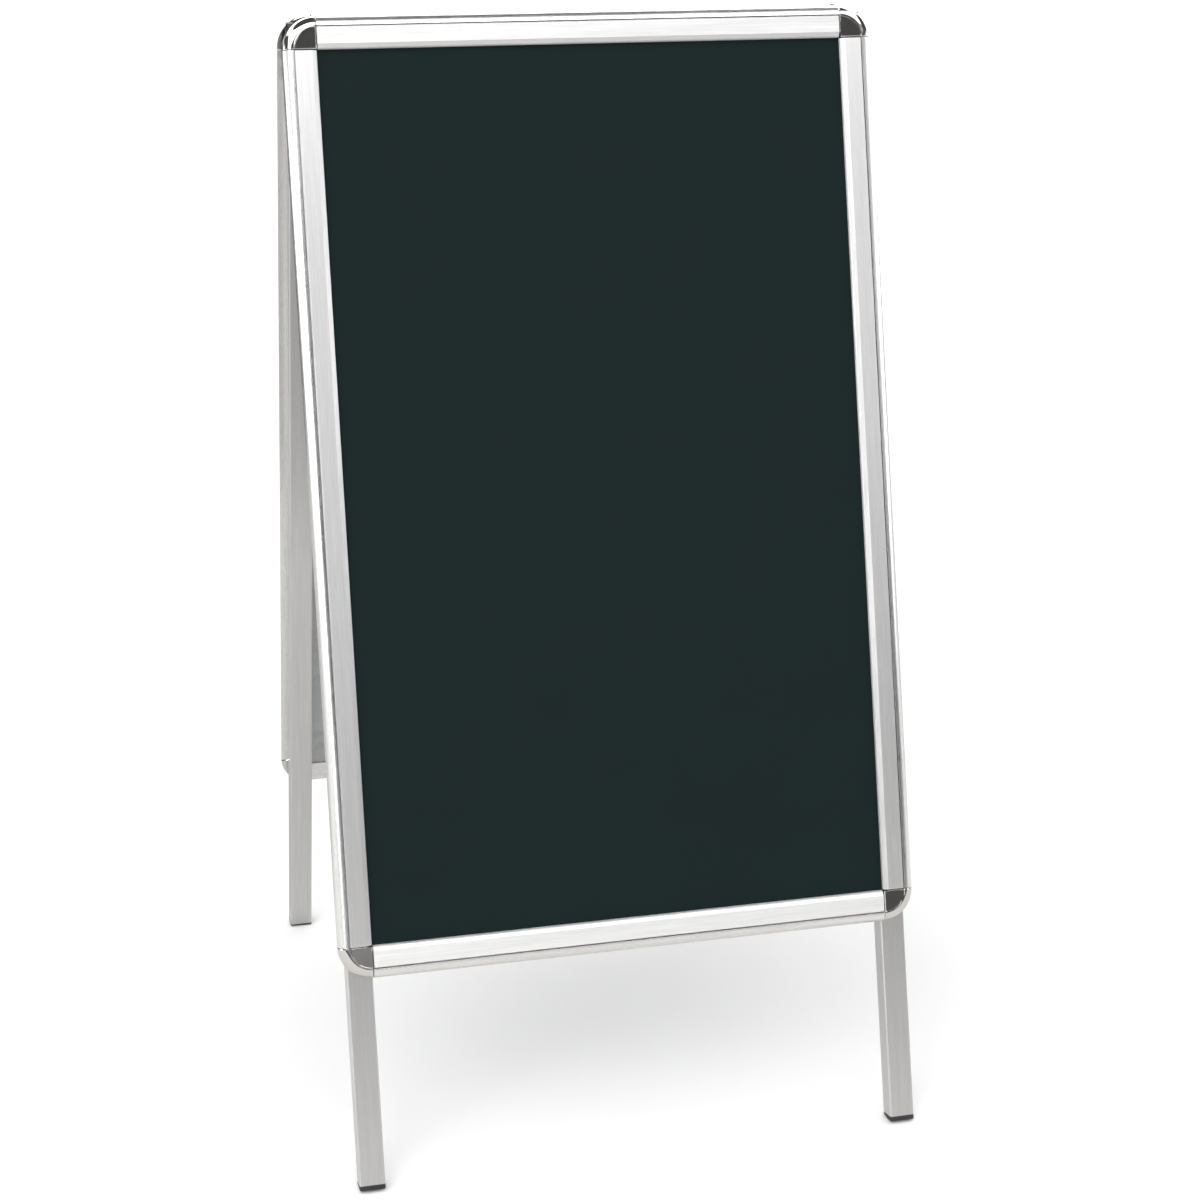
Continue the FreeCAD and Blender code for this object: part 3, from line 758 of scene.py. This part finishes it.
def make_corners(leaf):
    near = TONGUE_NEAR - RAIL_WIDTH
    far = TONGUE_FAR - RAIL_WIDTH
    for corner in CORNERS:
        mesh = bmesh.new()
        revolved_corner(mesh, corner_outline(), CORNER_END_BEVEL)
        block(mesh, (-TONGUE_ROOT, -TONGUE_TOP, near), (TONGUE_REACH, -TONGUE_BOTTOM, far))
        block(mesh, (near, -TONGUE_TOP, -TONGUE_ROOT), (far, -TONGUE_BOTTOM, TONGUE_REACH))
        x = opening_span("top") / 2 * (-1 if corner.endswith("left") else 1)
        z = opening_span("left") / 2 * (-1 if corner.startswith("bottom") else 1)
        turned = Matrix.Rotation(math.radians(CORNERS[corner]), 4, "Y")
        mesh.transform(Matrix.Translation((x, -FRAME_BACK, FRAME_CENTRE_Z + z)) @ turned)
        node = seen_name(corner + "_corner", leaf)
        finished(node + "_cap", mesh, leaf, leaf + "_leaf", node, chrome_metal, bevel=CORNER_EDGE_BEVEL)


def make_sheets(leaf):
    half_width = FRAME_WIDTH / 2 - SHEET_EDGE_DEPTH
    half_height = FRAME_HEIGHT / 2 - SHEET_EDGE_DEPTH
    for name, material in (("back_sheet", zinc_coat), ("chalkboard", slate_coat)):
        low, high = SHEET_LEVELS[name]
        mesh = bmesh.new()
        block(mesh, (-half_width, -FRAME_BACK - high, FRAME_CENTRE_Z - half_height),
              (half_width, -FRAME_BACK - low, FRAME_CENTRE_Z + half_height))
        node = seen_name(name, leaf)
        finished(node + "_panel", mesh, leaf, leaf + "_leaf", node, material, bevel=SHEET_EDGE_BEVEL)


def make_legs(leaf):
    upward = Vector((0, -math.sin(LEAN), math.cos(LEAN)))  # the world's, in the leaf's own axes
    outer = rounded_rectangle(LEG_WIDTH / 2, -LEG_BACK, -FRAME_BACK, LEG_EDGE_RADIUS)
    inner = rounded_rectangle(LEG_WIDTH / 2 - LEG_WALL, -LEG_BACK - LEG_WALL, -FRAME_BACK + LEG_WALL,
                              LEG_BORE_RADIUS)
    for hand, x in LEG_PLACES.items():
        shift = Matrix.Translation((x, 0, 0))
        mesh = bmesh.new()
        prism(mesh, outer, -TUBE_END, -LEG_TOP, inner)
        mesh.transform(shift)
        plug_screw = -LEG_TOP - HEAD_PLUG_LENGTH / 2
        holes = leg_screw_holes(x) + [(PLUG_SCREW_RADIUS, x, -LEG_BACK, plug_screw, PLUG_HOLE_DEPTH)]
        node = seen_name(hand + "_leg", leaf)
        finished(node + "_tube", mesh, leaf, leaf + "_leaf", node, leg_metal, holes)

        mesh = bmesh.new()
        prism(mesh, outer, -TUBE_END - FOOT_PAD_THICK, -TUBE_END)
        mesh.transform(shift)
        everything = mesh.verts[:] + mesh.edges[:] + mesh.faces[:]
        cut = bmesh.ops.bisect_plane(mesh, geom=everything, plane_co=-HINGE_HEIGHT * upward,
                                     plane_no=-upward, clear_outer=True)
        open_edges = [item for item in cut["geom_cut"] if isinstance(item, bmesh.types.BMEdge)]
        bmesh.ops.contextual_create(mesh, geom=open_edges)
        node = seen_name(hand + "_foot", leaf)
        finished(node + "_pad", mesh, leaf, leaf + "_leaf", node, foot_rubber, bevel=PAD_EDGE_BEVEL,
                 segments=PAD_BEVEL_SEGMENTS)


for leaf in ("front", "rear"):
    make_rails(leaf)
    make_covers(leaf)
    make_corners(leaf)
    make_sheets(leaf)
    make_legs(leaf)

for name, node in frame["nodes"].items():
    for ending, material in (("_hinge_head", hinge_nylon), ("_screws", screw_steel), ("_pin", pin_steel),
                             ("_springs", spring_steel)):
        if name.endswith(ending):
            node.material_slots[0].material = material


# ---- Floor, light and camera --------------------------------------------------------------

def stage_material(name, colour, roughness):
    material = bpy.data.materials.new(name)
    material.use_nodes = True
    surface = material.node_tree.nodes["Principled BSDF"]
    surface.inputs["Base Color"].default_value = (*colour, 1)
    surface.inputs["Roughness"].default_value = roughness
    surface.inputs["Specular IOR Level"].default_value = 0.0
    return material


def flat_card(name, size_x, size_y, spot, material):
    data = bpy.data.meshes.new(name)
    corners = [(-size_x / 2, -size_y / 2, 0), (size_x / 2, -size_y / 2, 0), (size_x / 2, size_y / 2, 0),
               (-size_x / 2, size_y / 2, 0)]
    data.from_pydata(corners, [], [(0, 1, 2, 3)])
    data.materials.append(material)
    card = bpy.data.objects.new(name, data)
    card.location = spot
    bpy.context.scene.collection.objects.link(card)
    return card


def looking(spot, target):
    """Matrix at a spot with -Z towards the target."""
    toward = Vector(target) - Vector(spot)
    return Matrix.Translation(spot) @ toward.to_track_quat("-Z", "Y").to_matrix().to_4x4()


def soft_light(name, spot, target, size, power):
    data = bpy.data.lights.new(name, "AREA")
    data.shape = "SQUARE"
    data.size = size
    data.energy = power
    lamp = bpy.data.objects.new(name, data)
    lamp.matrix_world = looking(spot, target)
    lamp.visible_camera = False
    bpy.context.scene.collection.objects.link(lamp)


def make_world():
    """White for the floor and the view, and a studio of soft boxes and dark walls for reflections."""
    world = bpy.data.worlds.new("studio")
    world.use_nodes = True
    tree = world.node_tree
    direction = tree.nodes.new("ShaderNodeTexCoord")
    parts = tree.nodes.new("ShaderNodeSeparateXYZ")
    tree.links.new(direction.outputs["Generated"], parts.inputs[0])

    def math_node(operation, first, second=None):
        made = tree.nodes.new("ShaderNodeMath")
        made.operation = operation
        for socket, value in zip(made.inputs, (first, second)):
            if isinstance(value, (int, float)):
                socket.default_value = value
            elif value is not None:
                tree.links.new(value, socket)
        return made.outputs[0]

    def step(value, ends, levels):
        """Smooth change between two ends, from the first level to the second."""
        made = tree.nodes.new("ShaderNodeMapRange")
        made.interpolation_type = "SMOOTHSTEP"
        for name, number in zip(("From Min", "From Max", "To Min", "To Max"), (*ends, *levels)):
            made.inputs[name].default_value = number
        tree.links.new(value, made.inputs["Value"])
        return made.outputs["Result"]

    def band(value, low, high):
        """1 from low to high with soft edges, and 0 outside."""
        rise = step(value, (low, low + SOFT_EDGE), (0, 1))
        fall = step(value, (high - SOFT_EDGE, high), (1, 0))
        return math_node("MULTIPLY", rise, fall)

    height = parts.outputs["Z"]
    left = math_node("MULTIPLY", parts.outputs["X"], math_node("SIGN", parts.outputs["Y"]))
    hands = {"left": left, "right": math_node("MULTIPLY", left, -1.0)}
    overhead = step(left, OVERHEAD_FADE, OVERHEAD_GLOW)
    overhead = math_node("MULTIPLY", overhead, step(left, OVERHEAD_END, (1, OVERHEAD_END_SHARE)))
    total = math_node("MULTIPLY", band(height, *OVERHEAD_HEIGHT), overhead)
    for hand, start, end, low, high, glow in WALLS:
        wall = math_node("MULTIPLY", band(hands[hand], start, end), band(height, low, high))
        total = math_node("ADD", total, math_node("MULTIPLY", wall, glow))
    horizon = math_node("MULTIPLY", band(height, *HORIZON_HEIGHT), step(left, HORIZON_FADE, HORIZON_GLOW))
    total = math_node("ADD", total, horizon)
    beside = step(math_node("ABSOLUTE", parts.outputs["X"]), DARK_BESIDE, (0, 1))
    dark = math_node("MULTIPLY", beside, step(height, DARK_ABOVE, (0, 1)))
    total = math_node("MULTIPLY", total, math_node("SUBTRACT", 1.0, dark))
    total = math_node("ADD", total, ROOM_GLOW)
    studio = tree.nodes.new("ShaderNodeCombineColor")
    for channel in studio.inputs:
        tree.links.new(total, channel)
    rays = tree.nodes.new("ShaderNodeLightPath")
    mix = tree.nodes.new("ShaderNodeMix")
    mix.data_type = "RGBA"
    colours = [socket for socket in mix.inputs if socket.type == "RGBA"]
    colours[0].default_value = (WHITE, WHITE, WHITE, 1)
    tree.links.new(rays.outputs["Is Glossy Ray"], mix.inputs[0])
    tree.links.new(studio.outputs[0], colours[1])
    result = next(socket for socket in mix.outputs if socket.type == "RGBA")
    tree.links.new(result, tree.nodes["Background"].inputs["Color"])
    bpy.context.scene.world = world


def make_camera():
    forward = Vector((math.sin(YAW) * math.cos(PITCH), math.cos(YAW) * math.cos(PITCH), -math.sin(PITCH)))
    right = Vector((math.cos(YAW), -math.sin(YAW), 0))
    down = forward.cross(right)
    rolled_right = right * math.cos(ROLL) + down * math.sin(ROLL)
    rolled_down = down * math.cos(ROLL) - right * math.sin(ROLL)
    data = bpy.data.cameras.new("camera")
    data.sensor_width = SENSOR_WIDTH
    data.lens = FOCAL / IMAGE * data.sensor_width
    data.shift_x = (IMAGE / 2 - PRINCIPAL[0]) / IMAGE
    data.shift_y = (PRINCIPAL[1] - IMAGE / 2) / IMAGE
    data.clip_end = CLIP_END
    camera = bpy.data.objects.new("camera", data)
    axes = Matrix((rolled_right, -rolled_down, -forward)).transposed().to_4x4()
    camera.matrix_world = Matrix.Translation(Vector(CAMERA_SPOT) * MM) @ axes
    bpy.context.scene.collection.objects.link(camera)
    bpy.context.scene.camera = camera


floor_paint = stage_material("floor_paint", FLOOR_COLOUR, FLOOR_ROUGHNESS)
flat_card("floor", FLOOR_SIZE, FLOOR_SIZE, (0, 0, FLOOR_LEVEL), floor_paint)
for name, depth, y, shade in CARPETS:
    paint = stage_material(name + "_carpet", [shade * tint for tint in CARPET_TINT], CARPET_ROUGHNESS)
    carpet = flat_card(name + "_reflected_floor", FLOOR_SIZE, depth, (0, y, CARPET_LEVEL), paint)
    carpet.visible_camera = False
    carpet.visible_diffuse = False
    carpet.visible_shadow = False
make_world()
soft_light("key", KEY_SPOT, BOARD_MIDDLE, KEY_SIZE, KEY_POWER)
bpy.context.scene.view_settings.view_transform = "Standard"
make_camera()
